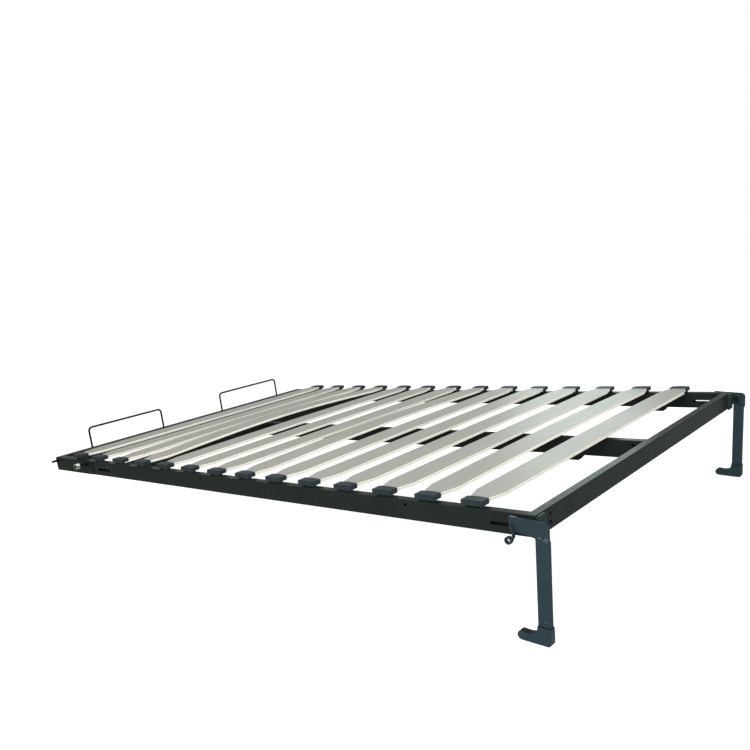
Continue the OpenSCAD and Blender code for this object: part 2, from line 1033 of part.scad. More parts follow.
module left_leg_cord_eye() {
    color(leg_colour)
        on_left()
            leg_cord_eye();
}

module right_leg_cord_eye() {
    color(leg_colour)
        leg_cord_eye();
}

module shoe_outline() {
    sole = -leg_len;
    tip_r = toe_tip_h / 2;
    tip = [tip_r - toe_reach, sole + toe_tip_h];
    neck = [-heel_back, sole + heel_h - scoop_end_drop];
    dip = [-heel_back - scoop_run, sole + scoop_h];
    polygon(concat(
        [[-heel_back, sole + heel_h], [heel_back, sole + heel_h]],
        arc(heel_back - heel_round, sole + heel_round, heel_round, 0, -90),
        arc(tip[0], sole + tip_r, tip_r, 270, 90),
        curve(tip, dip, neck)
    ));
}

module leg_shoe() {
    mouth = heel_h - leg_len;
    grow = 2 * socket_play;
    on_leg()
        difference() {
            plate_y(leg_gap, leg_gap + shoe_t)
                shoe_outline();
            leg_bar(leg_w + grow, leg_t + grow, leg_round, mouth - shoe_socket, mouth + over);
        }
}

module left_leg_shoe() {
    color(plastic_colour)
        on_left()
            leg_shoe();
}

module right_leg_shoe() {
    color(plastic_colour)
        leg_shoe();
}

module leg_rivet() {
    dome = rivet_d / 4;
    r = (dome * dome + rivet_d * rivet_d / 4) / (2 * dome);
    on_leg()
        translate([rivet_off, 0, rivet_up - leg_len]) {
            rod_y(rivet_shank_d, tube_out - leg_wall, tube_out);
            intersection() {
                rod_y(rivet_d, tube_out, tube_out + dome);
                translate([0, half_w + tube_out + dome - r, 0])
                    sphere(r);
            }
        }
}

module left_leg_rivet() {
    color(leg_colour)
        on_left()
            leg_rivet();
}

module right_leg_rivet() {
    color(leg_colour)
        leg_rivet();
}

// Welded to the back of the head plate
module leg_sleeve() {
    on_leg_pivot()
        difference() {
            rod_y(sleeve_d, tube_in, plate_back);
            rod_y(leg_bush_d + 2 * fit_play, tube_in - over, plate_back + over);
        }
}

module left_leg_sleeve() {
    color(leg_colour)
        on_left()
            leg_sleeve();
}

module right_leg_sleeve() {
    color(leg_colour)
        leg_sleeve();
}

module leg_bush() {
    on_leg_pivot()
        difference() {
            rod_y(leg_bush_d, tube_in, plate_back);
            rod_y(pin_d + 2 * run_play, tube_in - over, plate_back + over);
        }
}

module left_leg_bush() {
    color(nylon_colour)
        on_left()
            leg_bush();
}

module right_leg_bush() {
    color(nylon_colour)
        leg_bush();
}

// Closes the tube's top behind the tongue
module leg_plug() {
    from = tube_in + leg_wall + fit_play;
    on_leg()
        translate([-tongue_w / 2, half_w + from, -leg_top_low - plug_len])
            cube([tongue_w, plate_back - fit_play - from, plug_len]);
}

module left_leg_plug() {
    color(plastic_colour)
        on_left()
            leg_plug();
}

module right_leg_plug() {
    color(plastic_colour)
        leg_plug();
}

// Nodes

left_side_rail();
right_side_rail();
head_rail();
foot_rail();
centre_rail();
cross_rail();
left_pivot_plate();
right_pivot_plate();
left_pivot_stud();
right_pivot_stud();
pivot_lock_nuts();
pivot_clips();
left_pivot_bush();
right_pivot_bush();
left_strut_stud();
right_strut_stud();
left_hinge_bracket();
right_hinge_bracket();
left_leg_pin();
right_leg_pin();
leg_spacers();
left_slat_holders();
right_slat_holders();
panel_brackets();
left_mattress_loop();
right_mattress_loop();
left_leg_tube();
left_leg_head_plate();
left_leg_cord_eye();
left_leg_shoe();
left_leg_rivet();
left_leg_sleeve();
left_leg_bush();
left_leg_plug();
right_leg_tube();
right_leg_head_plate();
right_leg_cord_eye();
right_leg_shoe();
right_leg_rivet();
right_leg_sleeve();
right_leg_bush();
right_leg_plug();
for (i = [1:slat_count]) slat(i);
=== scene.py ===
"""Finishes for a fold-down wall bed's frame: painted steel, foiled slats, moulded holders, folding legs."""

import math

import bmesh
import bpy
from bpy.props import FloatProperty, FloatVectorProperty, PointerProperty
from mathutils import Matrix, Vector


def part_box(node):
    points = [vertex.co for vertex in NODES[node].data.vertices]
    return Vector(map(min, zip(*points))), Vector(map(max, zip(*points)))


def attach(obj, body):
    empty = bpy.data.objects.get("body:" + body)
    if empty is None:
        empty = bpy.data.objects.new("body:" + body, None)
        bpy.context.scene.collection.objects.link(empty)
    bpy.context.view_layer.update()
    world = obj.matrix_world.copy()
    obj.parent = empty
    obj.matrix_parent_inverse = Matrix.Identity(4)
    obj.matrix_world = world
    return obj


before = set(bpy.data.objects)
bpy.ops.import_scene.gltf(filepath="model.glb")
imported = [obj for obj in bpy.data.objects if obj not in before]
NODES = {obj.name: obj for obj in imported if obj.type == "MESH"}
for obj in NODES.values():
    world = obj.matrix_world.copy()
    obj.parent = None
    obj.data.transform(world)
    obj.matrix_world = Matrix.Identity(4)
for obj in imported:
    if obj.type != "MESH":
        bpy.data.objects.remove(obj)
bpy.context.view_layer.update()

bl_info = {
    "name": "Wall bed frame finishes",
    "version": (1, 0, 0),
    "blender": (4, 5, 0),
    "location": "View3D > Sidebar > Wall bed",
    "description": "Paints and details the parts of a fold-down wall bed frame",
    "category": "Object",
}

SIDES = {"left": -1.0, "right": 1.0}
SLATS = sorted(name for name in NODES if name.startswith("slat_"))
RAILS = ("left_side_rail", "right_side_rail", "head_rail", "foot_rail", "centre_rail", "cross_rail")

RAIL_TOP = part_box("head_rail")[1].z
HEAD_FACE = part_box("head_rail")[0].x
FOOT_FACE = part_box("foot_rail")[1].x
SIDE_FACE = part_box("right_side_rail")[1].y
LEG_PIN = (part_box("right_leg_pin")[0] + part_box("right_leg_pin")[1]) / 2
PLATE_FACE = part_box("right_leg_head_plate")[1].y
TUBE_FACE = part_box("right_leg_tube")[1].y
TUBE_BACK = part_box("right_leg_tube")[0].y

# Leg sizes that the nodes' boxes can't give, because the leg leans
TUBE_WIDTH = 0.03
LEG_LENGTH = 0.265
SHOE_HEIGHT = 0.0415
SHOE_TOP = SHOE_HEIGHT - LEG_LENGTH
PIVOT_BACK = 0.0055
LEG_LEAN = math.radians(3.6)

# A face whose normal points this much along an axis faces that way
FACING = 0.7
SHOE_FACING = 0.3
PIN_FACING = 0.9

# Edge rounding: radii, corners nearer than this join, flats below and edges above these angles
PLATE_ROUND = 0.0005
NUT_ROUND = 0.0006
SHOE_ROUND = 0.0016
JOIN_DISTANCE = 0.00001
FLAT_ANGLE = math.radians(0.1)
SHARP_ANGLE = math.radians(40)

# Noise lies mostly between these values
NOISE_LOW = 0.3
NOISE_HIGH = 0.7

# Colours that aren't settings: dark and light marks in the foil, the hidden bush
FOIL_STREAK = (0.2, 0.19, 0.16, 1)
FOIL_CLOUD = (0.75, 0.76, 0.72, 1)
NYLON = (0.5, 0.5, 0.45, 1)

# Glue line on a slat's edge: level from the bottom, share of the glue's colour
GLUE_STOPS = ((0.0, 0.0), (0.4, 0.0), (0.45, 1.0), (0.53, 1.0), (0.58, 0.0))

# Weld runs between the head plate and the leg tube: ends from the middle of the leg's head,
# share of the full width
WELD_RUNS = (
    (-0.0095, -0.0183, -0.0008, -0.0212, 1.0),
    (0.0056, -0.0187, 0.0155, -0.0216, 1.0),
    (0.0002, -0.0217, 0.0143, -0.0264, 0.5),
)

# A weld run's mesh: steps along it and round it, ripples and their share of the radius, power that
# tapers the ends, height as a share of the radius
WELD_STEPS = 28
WELD_ARCS = 8
WELD_RIPPLES = 9
WELD_RIPPLE = 0.12
WELD_TAPER = 6
WELD_HEIGHT = 0.8

# Weld run along the arm's upper edge: ends and level from the middle of the leg's head, depth behind
# the plate's face
ARM_WELD = (-0.077, -0.058)
ARM_WELD_LEVEL = 0.0168
ARM_WELD_DEPTH = 0.0015

# Weld run along the bracket's upper edge: ends from the side rail's face, place beyond the foot
# rail's face, depth in the edge
BRACKET_WELD = (0.008, 0.034)
BRACKET_WELD_OUT = 0.0015
BRACKET_WELD_SINK = 0.0002

# Lip on the shoe: points round the tube, corner radius, rings as outward growth and share of the height
LIP_POINTS = 24
LIP_CORNER = 0.002
LIP_RINGS = ((0.0012, 0.0), (0.0012, 0.6), (0.0007, 1.0), (0.0, 1.0), (0.0, 0.0))

FLOOR_REACH = 60.0
FLOOR_GLOW = 0.8

# Camera: place from the head rail's face, the middle and the rails' top, its axes, sensor in
# millimetres, shift as a share of the picture, reach
CAMERA_PLACE = (HEAD_FACE + 2.8785, -2.0141, RAIL_TOP + 0.5607)
CAMERA_RIGHT = Vector((0.75226, 0.64591, -0.12998))
CAMERA_DOWN = Vector((0.03857, -0.24011, -0.96998))
CAMERA_AHEAD = Vector((-0.65773, 0.72467, -0.20554))
CAMERA_SENSOR = 36.0
CAMERA_SHIFT = 55 / 750
CAMERA_REACH = 200.0

# Lamps: name, setting for the power, place, aim, width and height
LAMPS = (
    ("top_light", "top_light", (0.2, -0.2, 3.6), (0, 0, 0.3), 3.4, 3.4),
    ("front_light", "fill_light", (1.6, -3.6, 1.8), (0, 0, 0.25), 2.6, 2.6),
    ("side_light", "side_light", (4.6, 0.4, 1.3), (0.2, 0, 0.28), 2.0, 2.0),
    ("panel_light", "panel_light", (-0.86, 3.1, 1.7), (-0.86, 0, 1.7), 1.0, 3.3),
)


def colour_property(name, description, default):
    return FloatVectorProperty(
        name=name, description=description, subtype="COLOR", size=4, min=0, max=1, default=default
    )


def length_property(name, description, default):
    return FloatProperty(name=name, description=description, default=default, unit="LENGTH")


def power_property(name, description, default):
    return FloatProperty(name=name, description=description, default=default, unit="POWER")


class RailFinish(bpy.types.PropertyGroup):
    """Powder coat of the welded frame."""

    colour: colour_property("Rail colour", "Colour of the rails' powder coat", (0.0168, 0.0222, 0.0192, 1))
    roughness: FloatProperty(
        name="Roughness", description="Mean roughness of the powder coat", default=0.24, min=0, max=1
    )
    grain: length_property("Grain", "Size of the coat's fine grain", 0.0012)


class SlatFinish(bpy.types.PropertyGroup):
    """Foiled laminated slats with open edges."""

    foil: colour_property("Foil", "Colour of the slats' foil", (0.338, 0.337, 0.302, 1))
    edge: colour_property("Edge colour", "Colour of the wood along a slat's edges", (0.98, 0.965, 0.84, 1))
    glue_line: colour_property("Glue line", "Colour of the line between the layers", (0.5, 0.47, 0.3, 1))
    edge_round: length_property("Edge rounding", "Rounding of a slat's edges", 0.0008)


class HolderFinish(bpy.types.PropertyGroup):
    """Moulded slat holders."""

    colour: colour_property("Holder colour", "Colour of the moulded holders", (0.021, 0.033, 0.04, 1))
    edge_round: length_property("Edge rounding", "Rounding of a holder's edges", 0.0009)


class LegFinish(bpy.types.PropertyGroup):
    """Folding legs and their brackets."""

    colour: colour_property("Leg colour", "Colour of the paint on the legs", (0.031, 0.052, 0.064, 1))
    bracket: colour_property("Bracket colour", "Colour of the hinge brackets' paint", (0.025, 0.039, 0.038, 1))
    shoe: colour_property("Shoe colour", "Colour of the moulded shoes", (0.0235, 0.045, 0.057, 1))
    # Darker plastic for the shoe's upward-facing faces, its lip and the leg spacers
    dark_plastic: colour_property("Tread colour", "Colour of the shoe's upper faces", (0.006, 0.01, 0.012, 1))
    # Painted shade: the pins' faces other than their outer ends take this darker colour for the shade inside
    # the leg's head
    pin: colour_property("Pin colour", "Colour of the pins inside the leg's plate", (0.012, 0.016, 0.018, 1))
    # Painted highlight: the weld runs' colour is far lighter than the leg's paint, so that they show as bright
    # glints
    weld: colour_property("Weld colour", "Colour of the thinly painted weld runs", (0.15, 0.16, 0.175, 1))
    lip: length_property("Lip height", "Height of the dark lip round the tube on the shoe", 0.0028)
    edge_round: length_property("Edge rounding", "Rounding of plate edges", 0.0006)
    bead_width: length_property("Weld width", "Width of a weld run", 0.003)


class PivotFinish(bpy.types.PropertyGroup):
    """Head pivots, studs and mattress loops."""

    bush: colour_property("Bush colour", "Colour of the turned steel bush", (0.74, 0.75, 0.68, 1))
    stud: colour_property("Stud colour", "Colour of the blackened studs and nuts", (0.009, 0.011, 0.012, 1))
    wire: colour_property("Wire colour", "Colour of the coated loop wire", (0.008, 0.011, 0.018, 1))


class StageSetup(bpy.types.PropertyGroup):
    """Floor, light and camera."""

    floor: colour_property("Floor colour", "Colour of the floor", (0.5, 0.5, 0.5, 1))
    lens: FloatProperty(name="Lens", description="Focal length of the camera", default=38.37, unit="CAMERA")
    top_light: power_property("Top light", "Power of the overhead light", 62.0)
    fill_light: power_property("Fill light", "Power of the front light", 100.0)
    side_light: power_property("Side light", "Power of the light from the foot end", 62.0)
    panel_light: power_property("Panel light", "Power of the standing panel beyond the right side", 24.0)
    panel_tint: colour_property("Panel tint", "Colour of the standing panel", (0.81, 1.0, 0.97, 1))
    sky: FloatProperty(name="Sky", description="Strength of the surrounding light", default=0.42, min=0)


class WallBedSettings(bpy.types.PropertyGroup):
    """All settings of the wall bed frame."""

    rails: PointerProperty(type=RailFinish)
    slats: PointerProperty(type=SlatFinish)
    holders: PointerProperty(type=HolderFinish)
    legs: PointerProperty(type=LegFinish)
    pivots: PointerProperty(type=PivotFinish)
    stage: PointerProperty(type=StageSetup)


def settings():
    return bpy.context.scene.wall_bed


# Material helpers


def tinted(colour, factor):
    return tuple(channel * factor for channel in colour[:3]) + (1,)


class Graph:
    """A material's node graph, with short calls for the nodes that the finishes share."""

    def __init__(self, name):
        self.material = bpy.data.materials.new(name)
        self.material.use_nodes = True
        self.nodes = self.material.node_tree.nodes
        self.links = self.material.node_tree.links
        self.shader = self.nodes["Principled BSDF"]
        self.place = self.nodes.new("ShaderNodeTexCoord").outputs["Object"]

    def link(self, source, target):
        self.links.new(source, target)

    def stretched(self, scale):
        mapping = self.nodes.new("ShaderNodeMapping")
        mapping.inputs["Scale"].default_value = scale
        self.link(self.place, mapping.inputs["Vector"])
        return mapping.outputs["Vector"]

    def noise(self, scale, detail=2.0, vector=None):
        node = self.nodes.new("ShaderNodeTexNoise")
        node.inputs["Scale"].default_value = scale
        node.inputs["Detail"].default_value = detail
        self.link(vector or self.place, node.inputs["Vector"])
        return node.outputs["Fac"]

    def spread(self, value, low, high):
        node = self.nodes.new("ShaderNodeMapRange")
        node.inputs["From Min"].default_value = NOISE_LOW
        node.inputs["From Max"].default_value = NOISE_HIGH
        node.inputs["To Min"].default_value = low
        node.inputs["To Max"].default_value = high
        self.link(value, node.inputs["Value"])
        return node.outputs["Result"]

    def blend(self, factor, first, second):
        node = self.nodes.new("ShaderNodeMix")
        node.data_type = "RGBA"
        self.link(factor, node.inputs["Factor"])
        for socket, value in ((node.inputs[6], first), (node.inputs[7], second)):
            if isinstance(value, bpy.types.NodeSocket):
                self.link(value, socket)
            else:
                socket.default_value = value
        return node.outputs[2]

    def mottle(self, value, colour, dark, light):
        return self.blend(self.spread(value, low=0, high=1), tinted(colour, dark), tinted(colour, light))

    def bump(self, height, strength, distance):
        node = self.nodes.new("ShaderNodeBump")
        node.inputs["Strength"].default_value = strength
        node.inputs["Distance"].default_value = distance
        self.link(height, node.inputs["Height"])
        return node.outputs["Normal"]

    def set(self, **values):
        for name, value in values.items():
            socket = self.shader.inputs[name.replace("_", " ")]
            if isinstance(value, bpy.types.NodeSocket):
                self.link(value, socket)
            else:
                socket.default_value = value
        return self.material


def powder_coat(name, colour, roughness, grain, shine=0.06):
    """A fine orange-peel coat with slow changes of tone and gloss."""
    graph = Graph(name)
    tone = graph.noise(scale=7.0, detail=3.0)
    fine = graph.noise(scale=1.0 / grain)
    base = graph.mottle(tone, colour, dark=0.88, light=1.14)
    wear = graph.noise(scale=45.0, detail=3.0)
    gloss = graph.spread(wear, low=roughness - 0.05, high=roughness + 0.06)
    normal = graph.bump(fine, strength=0.16, distance=grain * 0.25)
    return graph.set(Base_Color=base, Roughness=gloss, Normal=normal, Specular_IOR_Level=shine)


def moulded_plastic(name, colour, roughness):
    """Moulded plastic with a spark-eroded grain."""
    graph = Graph(name)
    grain = graph.noise(scale=1400.0)
    tone = graph.noise(scale=25.0)
    base = graph.mottle(tone, colour, dark=0.9, light=1.12)
    gloss = graph.spread(grain, low=roughness - 0.06, high=roughness + 0.06)
    normal = graph.bump(grain, strength=0.12, distance=0.0002)
    return graph.set(Base_Color=base, Roughness=gloss, Normal=normal, Specular_IOR_Level=0.14)


def slat_foil(colour):
    """Pale grey foil printed with a faint long grain."""
    graph = Graph("slat_foil")
    streaks = graph.noise(scale=1.0, detail=5.0, vector=graph.stretched((260.0, 5.0, 260.0)))
    grained = graph.blend(graph.spread(streaks, low=0, high=0.1), tuple(colour), FOIL_STREAK)
    clouds = graph.noise(scale=3.0)
    base = graph.blend(graph.spread(clouds, low=0, high=0.06), grained, FOIL_CLOUD)
    gloss = graph.spread(streaks, low=0.36, high=0.46)
    normal = graph.bump(streaks, strength=0.05, distance=0.0002)
    return graph.set(Base_Color=base, Roughness=gloss, Normal=normal, Specular_IOR_Level=0.2)


def slat_edge(wood, glue):
    """Open laminated edge: pale wood layers with one darker glue line, read from the slat's own level."""
    graph = Graph("slat_edge")
    level = graph.nodes.new("ShaderNodeAttribute")
    level.attribute_name = "level"
    ramp = graph.nodes.new("ShaderNodeValToRGB")
    for index, (position, value) in enumerate(GLUE_STOPS):
        stop = ramp.color_ramp.elements[index] if index < 2 else ramp.color_ramp.elements.new(position)
        stop.position = position
        stop.color = (value, value, value, 1)
    graph.link(level.outputs["Fac"], ramp.inputs["Fac"])
    grain = graph.noise(scale=1.0, detail=4.0, vector=graph.stretched((900.0, 14.0, 900.0)))
    layers = graph.mottle(grain, wood, dark=0.9, light=1.08)
    base = graph.blend(ramp.outputs["Color"], layers, glue)
    normal = graph.bump(grain, strength=0.1, distance=0.0003)
    return graph.set(Base_Color=base, Roughness=0.55, Normal=normal, Specular_IOR_Level=0.35)


def turned_steel(colour):
    """Bright steel with fine tool marks round its axis."""
    graph = Graph("turned_steel")
    marks = graph.noise(scale=1.0, detail=3.0, vector=graph.stretched((40.0, 2600.0, 40.0)))
    base = graph.mottle(marks, colour, dark=0.9, light=1.06)
    gloss = graph.spread(marks, low=0.18, high=0.3)
    normal = graph.bump(marks, strength=0.1, distance=0.0001)
    return graph.set(Base_Color=base, Roughness=gloss, Metallic=1.0, Normal=normal)


def weld_metal_painted_highlight(colour):
    """Weld run under thin paint, rippled and glossier than the plate; its colour, far lighter than the paint,
    is a painted highlight.
    """
    graph = Graph("weld_run")
    ripple = graph.noise(scale=700.0)
    base = graph.mottle(ripple, colour, dark=0.7, light=1.3)
    normal = graph.bump(ripple, strength=0.3, distance=0.0003)
    return graph.set(Base_Color=base, Roughness=0.3, Metallic=0.5, Normal=normal)


# Mesh helpers


def paint(name, material):
    data = NODES[name].data
    data.materials.clear()
    data.materials.append(material)
    return NODES[name]


def round_edges(name, width, segments=2):
    """Joins the node's split corners and rounds its sharp edges by modifiers alone."""
    node = NODES[name]
    data = node.data
    if "custom_normal" in data.attributes:
        data.attributes.remove(data.attributes["custom_normal"])
    data.polygons.foreach_set("use_smooth", [True] * len(data.polygons))
    weld = node.modifiers.new("join_corners", "WELD")
    weld.merge_threshold = JOIN_DISTANCE
    flat = node.modifiers.new("join_flats", "DECIMATE")
    flat.decimate_type = "DISSOLVE"
    flat.angle_limit = FLAT_ANGLE
    flat.delimit = {"MATERIAL"}
    bevel = node.modifiers.new("round_edges", "BEVEL")
    bevel.width = width
    bevel.segments = segments
    bevel.limit_method = "ANGLE"
    bevel.angle_limit = SHARP_ANGLE
    bevel.harden_normals = True
    bevel.use_clamp_overlap = True
    return node


def new_piece(name, shape):
    """Puts a finished shape into the scene as an object of its own."""
    bmesh.ops.recalc_face_normals(shape, faces=shape.faces)
    mesh = bpy.data.meshes.new(name)
    shape.to_mesh(mesh)
    shape.free()
    piece = bpy.data.objects.new(name, mesh)
    bpy.context.scene.collection.objects.link(piece)
    return piece


def leg_point(x, z, y):
    """A point given from the middle of the leg's head, with the leg's lean."""
    across = x + PIVOT_BACK
    along = across * math.cos(LEG_LEAN) + z * math.sin(LEG_LEAN)
    up = z * math.cos(LEG_LEAN) - across * math.sin(LEG_LEAN)
    return Vector((LEG_PIN.x + along, y, LEG_PIN.z + up))


def weld_run(name, start, end, width, outward):
    """A rippled half-round weld run that lies on a face from start to end."""
    shape = bmesh.new()
    along = end - start
    across = along.normalized().cross(outward)
    rows = []
    for i in range(WELD_STEPS + 1):
        t = i / WELD_STEPS
        ends = math.sqrt(max(0.0, 1 - (2 * t - 1) ** WELD_TAPER))
        radius = width / 2 * ends * (1 + WELD_RIPPLE * math.sin(t * WELD_RIPPLES * math.tau))
        centre = start + along * t
        row = []
        for k in range(WELD_ARCS + 1):
            angle = math.pi * k / WELD_ARCS
            rise = outward * math.sin(angle) * radius * WELD_HEIGHT
            row.append(shape.verts.new(centre + across * math.cos(angle) * radius + rise))
        rows.append(row)
    for first, second in zip(rows, rows[1:]):
        for k in range(WELD_ARCS):
            shape.faces.new((first[k], first[k + 1], second[k + 1], second[k]))
    for face in shape.faces:
        face.smooth = True
    return new_piece(name, shape)


# Operators


class WALLBED_OT_rails(bpy.types.Operator):
    """Powder coat the welded rails, the pivot plates and the panel brackets"""

    bl_idname = "wallbed.rails"
    bl_label = "Rails"

    def execute(self, context):
        look = settings().rails
        coat = powder_coat("rail_coat", look.colour, look.roughness, look.grain, shine=0.04)
        for name in RAILS:
            paint(name, coat)
        for name in ("left_pivot_plate", "right_pivot_plate", "panel_brackets"):
            paint(name, coat)
            round_edges(name, PLATE_ROUND)
        return {"FINISHED"}


class WALLBED_OT_slats(bpy.types.Operator):
    """Foil the slats and show the layers along their edges"""

    bl_idname = "wallbed.slats"
    bl_label = "Slats"

    def execute(self, context):
        look = settings().slats
        foil = slat_foil(look.foil)
        edge = slat_edge(look.edge, look.glue_line)
        for name in SLATS:
            node = paint(name, foil)
            data = node.data
            data.materials.append(edge)
            level = data.attributes.new("level", "FLOAT", "POINT")
            upper = set()
            for face in data.polygons:
                if face.normal.z > FACING:
                    upper.update(self.place(data.vertices[v]) for v in face.vertices)
                face.material_index = 0 if abs(face.normal.z) > FACING else 1
            for vertex in data.vertices:
                level.data[vertex.index].value = 1.0 if self.place(vertex) in upper else 0.0
            round_edges(name, look.edge_round)
        return {"FINISHED"}

    def place(self, vertex):
        """A vertex's place to a hundredth of a millimetre, the same for all corners that meet there."""
        return tuple(round(c, 5) for c in vertex.co)


class WALLBED_OT_slat_holders(bpy.types.Operator):
    """Mould the slat holders"""

    bl_idname = "wallbed.slat_holders"
    bl_label = "Slat holders"

    def execute(self, context):
        look = settings().holders
        plastic = moulded_plastic("holder_plastic", look.colour, roughness=0.42)
        for side in SIDES:
            paint(side + "_slat_holders", plastic)
            round_edges(side + "_slat_holders", look.edge_round)
        return {"FINISHED"}


class WALLBED_OT_head_pivots(bpy.types.Operator):
    """Turn the bushes bright and blacken the studs, nuts and clips"""

    bl_idname = "wallbed.head_pivots"
    bl_label = "Head pivots"

    def execute(self, context):
        look = settings().pivots
        steel = turned_steel(look.bush)
        black = powder_coat("black_oxide", look.stud, roughness=0.34, grain=0.0006)
        for side in SIDES:
            paint(side + "_pivot_bush", steel)
            paint(side + "_pivot_stud", black)
            paint(side + "_strut_stud", black)
        for name in ("pivot_lock_nuts", "pivot_clips"):
            paint(name, black)
        round_edges("pivot_lock_nuts", NUT_ROUND)
        return {"FINISHED"}


class WALLBED_OT_mattress_loops(bpy.types.Operator):
    """Coat the wire loops at the head end"""

    bl_idname = "wallbed.mattress_loops"
    bl_label = "Mattress loops"

    def execute(self, context):
        coat = powder_coat("loop_coat", settings().pivots.wire, roughness=0.36, grain=0.001)
        for side in SIDES:
            paint(side + "_mattress_loop", coat)
        return {"FINISHED"}


class WALLBED_OT_legs(bpy.types.Operator):
    """Paint the legs and their brackets, mould the shoes and lay the weld runs"""

    bl_idname = "wallbed.legs"
    bl_label = "Legs"

    def execute(self, context):
        look = settings().legs
        coat = powder_coat("leg_coat", look.colour, roughness=0.45, grain=0.001, shine=0.03)
        bracket = powder_coat("bracket_coat", look.bracket, roughness=0.4, grain=0.001, shine=0.03)
        shoe = moulded_plastic("shoe_plastic", look.shoe, roughness=0.4)
        dark_plastic = moulded_plastic("shoe_tread", look.dark_plastic, roughness=0.5)
        nylon = moulded_plastic("natural_nylon", NYLON, roughness=0.45)
        # Painted highlight: the weld runs get a colour far lighter than the paint
        weld = weld_metal_painted_highlight(look.weld)
        # Painted highlight: the rivet head has the leg's paint, and its lighter colour stands in for the light
        # it catches
        rivet = powder_coat("rivet_coat", tinted(look.colour, factor=1.5), roughness=0.4, grain=0.001)
        pin = powder_coat("pin_coat", look.pin, roughness=0.4, grain=0.001, shine=0.03)
        paint("leg_spacers", dark_plastic)
        for side, sign in SIDES.items():
            for part in ("leg_tube", "leg_sleeve"):
                paint(f"{side}_{part}", coat)
            paint(f"{side}_leg_rivet", rivet)
            turned = paint(f"{side}_leg_pin", coat).data
            turned.materials.append(pin)
            # Painted shade: only a pin's outer end keeps the leg's paint, its other faces take the darker pin
            # colour
            for face in turned.polygons:
                face.material_index = 0 if sign * face.normal.y > PIN_FACING else 1
            for part in ("leg_head_plate", "leg_cord_eye"):
                paint(f"{side}_{part}", coat)
                round_edges(f"{side}_{part}", look.edge_round)
            paint(f"{side}_hinge_bracket", bracket)
            round_edges(f"{side}_hinge_bracket", 2 * look.edge_round)
            self.shoe(f"{side}_leg_shoe", shoe, dark_plastic)
            lip = self.lip(f"{side}_shoe_lip", sign, look.lip)
            lip.data.materials.append(dark_plastic)
            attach(lip, side + "_leg_body")
            paint(f"{side}_leg_plug", shoe)
            paint(f"{side}_leg_bush", nylon)
            outward, upward = Vector((0, sign, 0)), Vector((0, 0, 1))
            for number, (x0, z0, x1, z1, share) in enumerate(WELD_RUNS, 1):
                start, end = (leg_point(x, z, sign * PLATE_FACE) for x, z in ((x0, z0), (x1, z1)))
                run = weld_run(f"{side}_leg_weld_{number}", start, end, look.bead_width * share, outward)
                run.data.materials.append(weld)
                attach(run, side + "_leg_body")
            y = sign * (PLATE_FACE - ARM_WELD_DEPTH)
            start, end = (leg_point(x, ARM_WELD_LEVEL, y) for x in ARM_WELD)
            tip = weld_run(f"{side}_arm_weld", start, end, look.bead_width, upward)
            tip.data.materials.append(weld)
            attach(tip, side + "_leg_body")
            x = FOOT_FACE + BRACKET_WELD_OUT
            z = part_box(side + "_hinge_bracket")[1].z - BRACKET_WELD_SINK
            start, end = (Vector((x, sign * (SIDE_FACE - inward), z)) for inward in BRACKET_WELD)
            seam = weld_run(f"{side}_bracket_weld", start, end, look.bead_width, upward)
            seam.data.materials.append(weld)
            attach(seam, "bed_frame")
        return {"FINISHED"}

    def lip(self, name, sign, height):
        """A low rounded lip that closes the shoe round the leg tube."""
        half_x, half_y = TUBE_WIDTH / 2, (TUBE_FACE - TUBE_BACK) / 2
        middle_y = sign * (TUBE_FACE + TUBE_BACK) / 2
        shape = bmesh.new()
        rings = []
        for grow, level in LIP_RINGS:
            ring = []
            for k in range(LIP_POINTS):
                angle = math.tau * (k + 0.5) / LIP_POINTS
                corner_x = math.copysign(half_x - LIP_CORNER, math.cos(angle))
                corner_y = math.copysign(half_y - LIP_CORNER, math.sin(angle))
                x = corner_x + (LIP_CORNER + grow) * math.cos(angle)
                y = corner_y + (LIP_CORNER + grow) * math.sin(angle)
                ring.append(shape.verts.new(leg_point(x, SHOE_TOP + level * height, middle_y + y)))
            rings.append(ring)
        for first, second in zip(rings, rings[1:]):
            for k in range(LIP_POINTS):
                after = (k + 1) % LIP_POINTS
                shape.faces.new((first[k], first[after], second[after], second[k]))
        return new_piece(name, shape)

    def shoe(self, name, plastic, dark_plastic):
        """The shoe's upper faces, the toe's scoop among them, are darker than its sides."""
        node = paint(name, plastic)
        node.data.materials.append(dark_plastic)
        for face in node.data.polygons:
            # Faces that point upward get the darker plastic
            face.material_index = 1 if face.normal.z > SHOE_FACING else 0
        round_edges(name, SHOE_ROUND, segments=3)


